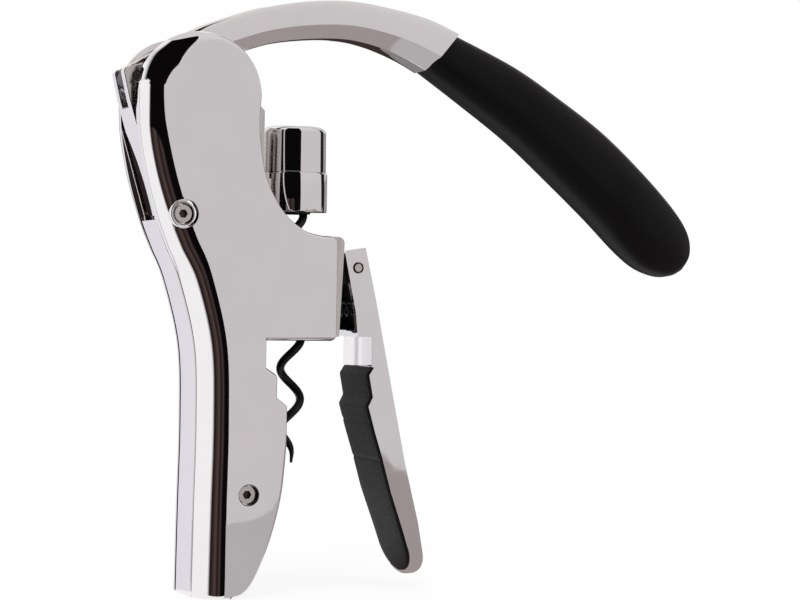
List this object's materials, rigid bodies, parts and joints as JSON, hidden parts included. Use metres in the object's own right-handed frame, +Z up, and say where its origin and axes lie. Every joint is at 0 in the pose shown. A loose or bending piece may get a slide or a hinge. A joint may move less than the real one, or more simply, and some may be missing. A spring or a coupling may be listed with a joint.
{
  "type": "vertical lever corkscrew",
  "caption": "Upright lever corkscrew: plated shells around a sliding carriage with a worm, a curved hand lever on a swinging link and a sprung grip lever that clamps a bottle neck.",
  "frame": {"origin": "middle of the foot, on the flat underside of the body, in the middle plane of the tool", "axes": "+Z up along the worm, +X from the back of the body towards the worm and the lever's grip, +Y across the body"},
  "size_m": [0.2123, 0.032, 0.1925],
  "materials": {
    "chrome_plate": "bright chrome plate on a die casting",
    "satin_steel": "satin plated metal",
    "machined_steel": "turned steel",
    "black_coating": "black non-stick coating",
    "black_plastic": "moulded, matt black",
    "soft_grip": "smooth soft-touch rubber",
    "rubber": "matt moulded rubber",
    "brass": "turned brass"
  },
  "bodies": {
    "body": {"near_shell": "chrome_plate", "far_shell": "chrome_plate", "spine_bar": "chrome_plate", "foot_plug": "black_plastic", "neck_saddle": "rubber", "nut_housing": "satin_steel", "worm_nut": "black_plastic", "near_guide": "black_plastic", "far_guide": "black_plastic", "carriage_buffer": "rubber", "shell_screws": "machined_steel", "thread_inserts": "brass", "link_bush": "brass", "squeeze_pin": "machined_steel", "squeeze_spring": "machined_steel"},
    "link": {"rear_link": "chrome_plate", "link_pin": "machined_steel"},
    "lever": {"lever_arm": "chrome_plate", "lever_grip": "soft_grip", "drive_pin": "machined_steel"},
    "slider": {"carriage": "satin_steel", "worm_collar": "chrome_plate", "worm_cap": "chrome_plate", "thrust_washers": "machined_steel"},
    "screw": {"worm": "black_coating", "worm_hub": "black_plastic", "hub_ring": "machined_steel"},
    "squeezer": {"grip_lever": "chrome_plate", "grip_pad": "rubber"}
  },
  "joints": [
    {"name": "link_swing", "type": "hinge", "parent": "body", "child": "link", "pos_m": [-0.0122, 0, 0.1201], "axis": [0, 1, 0], "range_deg": [0, 12.06]},
    {"name": "lever_lift", "type": "hinge", "parent": "link", "child": "lever", "pos_m": [-0.02521, 0, 0.16266], "axis": [0, -1, 0], "range_deg": [0, 112.05]},
    {"name": "carriage_slide", "type": "slide", "parent": "body", "child": "slider", "axis": [0, 0, 1], "range_m": [0, 0.04495]},
    {"name": "worm_turn", "type": "hinge", "parent": "slider", "child": "screw", "pos_m": [0.03, 0, 0.1], "axis": [0, 0, 1], "range_deg": [0, 813.2]},
    {"name": "grip_squeeze", "type": "hinge", "parent": "body", "child": "squeezer", "pos_m": [0.0483, 0, 0.1047], "axis": [0, 1, 0], "range_deg": [0, 11], "stiffness_Nm_per_rad": 0.4, "springref_deg": -8.59, "deforming": ["squeeze_spring"]}
  ],
  "couplings": [
    {"joint": "link_swing", "follows": "lever_lift", "ratio": 0.10757},
    {"joint": "carriage_slide", "follows": "lever_lift", "m_per_rad": 0.022978},
    {"joint": "worm_turn", "follows": "lever_lift", "ratio": 7.2551}
  ]
}
